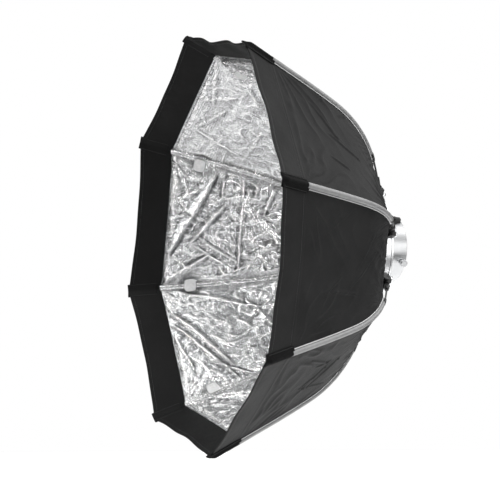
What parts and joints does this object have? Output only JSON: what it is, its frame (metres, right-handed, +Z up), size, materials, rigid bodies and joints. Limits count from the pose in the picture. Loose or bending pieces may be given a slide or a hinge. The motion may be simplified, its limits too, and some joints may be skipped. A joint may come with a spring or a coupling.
{
  "type": "studio softbox",
  "caption": "Octagonal umbrella-type softbox with folding ribs, fabric shell and a bayonet speedring hub.",
  "frame": {"origin": "on the softbox's axis, at the rear end of the speedring's mount bore", "axes": "+Y along the axis towards the flash head, so the open front faces -Y; +Z up; +X to the right, seen from the open front"},
  "size_m": [0.8364, 0.4529, 0.8364],
  "materials": {
    "black_fabric": "matte woven nylon",
    "silver_lining": "crinkled metallised cloth",
    "grey_webbing": "ribbed woven tape",
    "hook_tape_black": "fuzzy hook-and-loop cloth",
    "hook_tape_white": "hook-and-loop tab",
    "thread": "polyester thread",
    "fibreglass": "smooth pultruded rod",
    "black_plastic": "moulded nylon",
    "satin_aluminium": "satin",
    "polished_aluminium": "polished",
    "steel": "bright zinc",
    "dark_steel": "black oxide"
  },
  "bodies": {
    "hub": {"hub_drum": "satin_aluminium", "hub_rear_plate": "satin_aluminium", "hub_screws": "dark_steel", "rib_brackets": "black_plastic", "hinge_pins": "steel", "speedring_housing": "polished_aluminium", "housing_screws": "steel", "retaining_ring": "steel", "lever_bracket": "black_plastic"},
    "rib_1": {"rib_1_rod": "fibreglass", "rib_1_sleeve": "grey_webbing", "rib_1_tip_pocket": "hook_tape_black", "rib_1_socket": "black_plastic"},
    "rib_2": {"rib_2_rod": "fibreglass", "rib_2_sleeve": "grey_webbing", "rib_2_tip_pocket": "hook_tape_black", "rib_2_socket": "black_plastic"},
    "rib_3": {"rib_3_rod": "fibreglass", "rib_3_sleeve": "grey_webbing", "rib_3_tip_pocket": "hook_tape_black", "rib_3_socket": "black_plastic"},
    "rib_4": {"rib_4_rod": "fibreglass", "rib_4_sleeve": "grey_webbing", "rib_4_tip_pocket": "hook_tape_black", "rib_4_socket": "black_plastic"},
    "rib_5": {"rib_5_rod": "fibreglass", "rib_5_sleeve": "grey_webbing", "rib_5_tip_pocket": "hook_tape_black", "rib_5_socket": "black_plastic"},
    "rib_6": {"rib_6_rod": "fibreglass", "rib_6_sleeve": "grey_webbing", "rib_6_tip_pocket": "hook_tape_black", "rib_6_socket": "black_plastic"},
    "rib_7": {"rib_7_rod": "fibreglass", "rib_7_sleeve": "grey_webbing", "rib_7_tip_pocket": "hook_tape_black", "rib_7_socket": "black_plastic"},
    "rib_8": {"rib_8_rod": "fibreglass", "rib_8_sleeve": "grey_webbing", "rib_8_tip_pocket": "hook_tape_black", "rib_8_socket": "black_plastic"},
    "panel_1_fold_a": {"panel_1_half_a": "black_fabric"},
    "panel_1_fold_b": {"panel_1_half_b": "black_fabric"},
    "panel_2_fold_a": {"panel_2_half_a": "black_fabric"},
    "panel_2_fold_b": {"panel_2_half_b": "black_fabric"},
    "panel_3_fold_a": {"panel_3_half_a": "black_fabric"},
    "panel_3_fold_b": {"panel_3_half_b": "black_fabric"},
    "panel_4_fold_a": {"panel_4_half_a": "black_fabric"},
    "panel_4_fold_b": {"panel_4_half_b": "black_fabric"},
    "panel_5_fold_a": {"panel_5_half_a": "black_fabric"},
    "panel_5_fold_b": {"panel_5_half_b": "black_fabric"},
    "panel_6_fold_a": {"panel_6_half_a": "black_fabric"},
    "panel_6_fold_b": {"panel_6_half_b": "black_fabric"},
    "panel_7_fold_a": {"panel_7_half_a": "black_fabric"},
    "panel_7_fold_b": {"panel_7_half_b": "black_fabric"},
    "panel_8_fold_a": {"panel_8_half_a": "black_fabric"},
    "panel_8_fold_b": {"panel_8_half_b": "black_fabric"},
    "bayonet_ring": {"bayonet_ring": "polished_aluminium"},
    "thumb_screw": {"thumb_screw": "polished_aluminium"},
    "lock_lever": {"lock_lever": "black_plastic"}
  },
  "joints": [
    {"name": "rib_1_fold", "type": "hinge", "parent": "hub", "child": "rib_1", "pos_m": [0.12934, -0.072, 0.05358], "axis": [0.3827, 0, -0.9239], "range_deg": [0, 45]},
    {"name": "rib_2_fold", "type": "hinge", "parent": "hub", "child": "rib_2", "pos_m": [0.05358, -0.072, 0.12934], "axis": [0.9239, 0, -0.3827], "range_deg": [0, 45]},
    {"name": "rib_3_fold", "type": "hinge", "parent": "hub", "child": "rib_3", "pos_m": [-0.05358, -0.072, 0.12934], "axis": [0.9239, 0, 0.3827], "range_deg": [0, 45]},
    {"name": "rib_4_fold", "type": "hinge", "parent": "hub", "child": "rib_4", "pos_m": [-0.12934, -0.072, 0.05358], "axis": [0.3827, 0, 0.9239], "range_deg": [0, 45]},
    {"name": "rib_5_fold", "type": "hinge", "parent": "hub", "child": "rib_5", "pos_m": [-0.12934, -0.072, -0.05358], "axis": [-0.3827, 0, 0.9239], "range_deg": [0, 45]},
    {"name": "rib_6_fold", "type": "hinge", "parent": "hub", "child": "rib_6", "pos_m": [-0.05358, -0.072, -0.12934], "axis": [-0.9239, 0, 0.3827], "range_deg": [0, 45]},
    {"name": "rib_7_fold", "type": "hinge", "parent": "hub", "child": "rib_7", "pos_m": [0.05358, -0.072, -0.12934], "axis": [-0.9239, 0, -0.3827], "range_deg": [0, 45]},
    {"name": "rib_8_fold", "type": "hinge", "parent": "hub", "child": "rib_8", "pos_m": [0.12934, -0.072, -0.05358], "axis": [-0.3827, 0, -0.9239], "range_deg": [0, 45]},
    {"name": "panel_1_fold_a", "type": "hinge", "parent": "rib_1", "child": "panel_1_fold_a", "pos_m": [0.11869, -0.072, 0.0793], "axis": [-0.0849, 0.1242, 0.9886], "range_deg": [0, 26.01], "deforming": ["panel_1_half_a"]},
    {"name": "panel_8_fold_b", "type": "hinge", "parent": "rib_1", "child": "panel_8_fold_b", "pos_m": [0.14, -0.072, 0.02785], "axis": [-0.639, -0.1242, 0.7591], "range_deg": [0, 26.01], "deforming": ["panel_8_half_b"]},
    {"name": "panel_2_fold_a", "type": "hinge", "parent": "rib_2", "child": "panel_2_fold_a", "pos_m": [0.02785, -0.072, 0.14], "axis": [-0.7591, 0.1242, 0.639], "range_deg": [0, 26.01], "deforming": ["panel_2_half_a"]},
    {"name": "panel_1_fold_b", "type": "hinge", "parent": "rib_2", "child": "panel_1_fold_b", "pos_m": [0.0793, -0.072, 0.11869], "axis": [-0.9886, -0.1242, 0.0849], "range_deg": [0, 26.01], "deforming": ["panel_1_half_b"]},
    {"name": "panel_3_fold_a", "type": "hinge", "parent": "rib_3", "child": "panel_3_fold_a", "pos_m": [-0.0793, -0.072, 0.11869], "axis": [-0.9886, 0.1242, -0.0849], "range_deg": [0, 26.01], "deforming": ["panel_3_half_a"]},
    {"name": "panel_2_fold_b", "type": "hinge", "parent": "rib_3", "child": "panel_2_fold_b", "pos_m": [-0.02785, -0.072, 0.14], "axis": [-0.7591, -0.1242, -0.639], "range_deg": [0, 26.01], "deforming": ["panel_2_half_b"]},
    {"name": "panel_4_fold_a", "type": "hinge", "parent": "rib_4", "child": "panel_4_fold_a", "pos_m": [-0.14, -0.072, 0.02785], "axis": [-0.639, 0.1242, -0.7591], "range_deg": [0, 26.01], "deforming": ["panel_4_half_a"]},
    {"name": "panel_3_fold_b", "type": "hinge", "parent": "rib_4", "child": "panel_3_fold_b", "pos_m": [-0.11869, -0.072, 0.0793], "axis": [-0.0849, -0.1242, -0.9886], "range_deg": [0, 26.01], "deforming": ["panel_3_half_b"]},
    {"name": "panel_5_fold_a", "type": "hinge", "parent": "rib_5", "child": "panel_5_fold_a", "pos_m": [-0.11869, -0.072, -0.0793], "axis": [0.0849, 0.1242, -0.9886], "range_deg": [0, 26.01], "deforming": ["panel_5_half_a"]},
    {"name": "panel_4_fold_b", "type": "hinge", "parent": "rib_5", "child": "panel_4_fold_b", "pos_m": [-0.14, -0.072, -0.02785], "axis": [0.639, -0.1242, -0.7591], "range_deg": [0, 26.01], "deforming": ["panel_4_half_b"]},
    {"name": "panel_6_fold_a", "type": "hinge", "parent": "rib_6", "child": "panel_6_fold_a", "pos_m": [-0.02785, -0.072, -0.14], "axis": [0.7591, 0.1242, -0.639], "range_deg": [0, 26.01], "deforming": ["panel_6_half_a"]},
    {"name": "panel_5_fold_b", "type": "hinge", "parent": "rib_6", "child": "panel_5_fold_b", "pos_m": [-0.0793, -0.072, -0.11869], "axis": [0.9886, -0.1242, -0.0849], "range_deg": [0, 26.01], "deforming": ["panel_5_half_b"]},
    {"name": "panel_7_fold_a", "type": "hinge", "parent": "rib_7", "child": "panel_7_fold_a", "pos_m": [0.0793, -0.072, -0.11869], "axis": [0.9886, 0.1242, 0.0849], "range_deg": [0, 26.01], "deforming": ["panel_7_half_a"]},
    {"name": "panel_6_fold_b", "type": "hinge", "parent": "rib_7", "child": "panel_6_fold_b", "pos_m": [0.02785, -0.072, -0.14], "axis": [0.7591, -0.1242, 0.639], "range_deg": [0, 26.01], "deforming": ["panel_6_half_b"]},
    {"name": "panel_8_fold_a", "type": "hinge", "parent": "rib_8", "child": "panel_8_fold_a", "pos_m": [0.14, -0.072, -0.02785], "axis": [0.639, 0.1242, 0.7591], "range_deg": [0, 26.01], "deforming": ["panel_8_half_a"]},
    {"name": "panel_7_fold_b", "type": "hinge", "parent": "rib_8", "child": "panel_7_fold_b", "pos_m": [0.11869, -0.072, -0.0793], "axis": [0.0849, -0.1242, 0.9886], "range_deg": [0, 26.01], "deforming": ["panel_7_half_b"]},
    {"name": "bayonet_turn", "type": "hinge", "parent": "hub", "child": "bayonet_ring", "pos_m": [0, -0.042, 0], "axis": [0, 1, 0], "continuous": true},
    {"name": "thumb_screw_travel", "type": "slide", "parent": "hub", "child": "thumb_screw", "axis": [-0.9744, 0, 0.225], "range_m": [0, 0.003]},
    {"name": "lock_lever_press", "type": "hinge", "parent": "hub", "child": "lock_lever", "pos_m": [0.03332, -0.017, 0.06831], "axis": [0.8988, 0, -0.4384], "range_deg": [0, 12], "stiffness_Nm_per_rad": 0.02, "springref_deg": -20.05}
  ],
  "couplings": [
    {"joint": "rib_2_fold", "follows": "rib_1_fold", "ratio": 1},
    {"joint": "rib_3_fold", "follows": "rib_1_fold", "ratio": 1},
    {"joint": "rib_4_fold", "follows": "rib_1_fold", "ratio": 1},
    {"joint": "rib_5_fold", "follows": "rib_1_fold", "ratio": 1},
    {"joint": "rib_6_fold", "follows": "rib_1_fold", "ratio": 1},
    {"joint": "rib_7_fold", "follows": "rib_1_fold", "ratio": 1},
    {"joint": "rib_8_fold", "follows": "rib_1_fold", "ratio": 1},
    {"joint": "panel_1_fold_a", "follows": "rib_1_fold", "ratio": 0.57782},
    {"joint": "panel_8_fold_b", "follows": "rib_1_fold", "ratio": 0.57782},
    {"joint": "panel_2_fold_a", "follows": "rib_1_fold", "ratio": 0.57782},
    {"joint": "panel_1_fold_b", "follows": "rib_1_fold", "ratio": 0.57782},
    {"joint": "panel_3_fold_a", "follows": "rib_1_fold", "ratio": 0.57782},
    {"joint": "panel_2_fold_b", "follows": "rib_1_fold", "ratio": 0.57782},
    {"joint": "panel_4_fold_a", "follows": "rib_1_fold", "ratio": 0.57782},
    {"joint": "panel_3_fold_b", "follows": "rib_1_fold", "ratio": 0.57782},
    {"joint": "panel_5_fold_a", "follows": "rib_1_fold", "ratio": 0.57782},
    {"joint": "panel_4_fold_b", "follows": "rib_1_fold", "ratio": 0.57782},
    {"joint": "panel_6_fold_a", "follows": "rib_1_fold", "ratio": 0.57782},
    {"joint": "panel_5_fold_b", "follows": "rib_1_fold", "ratio": 0.57782},
    {"joint": "panel_7_fold_a", "follows": "rib_1_fold", "ratio": 0.57782},
    {"joint": "panel_6_fold_b", "follows": "rib_1_fold", "ratio": 0.57782},
    {"joint": "panel_8_fold_a", "follows": "rib_1_fold", "ratio": 0.57782},
    {"joint": "panel_7_fold_b", "follows": "rib_1_fold", "ratio": 0.57782}
  ]
}
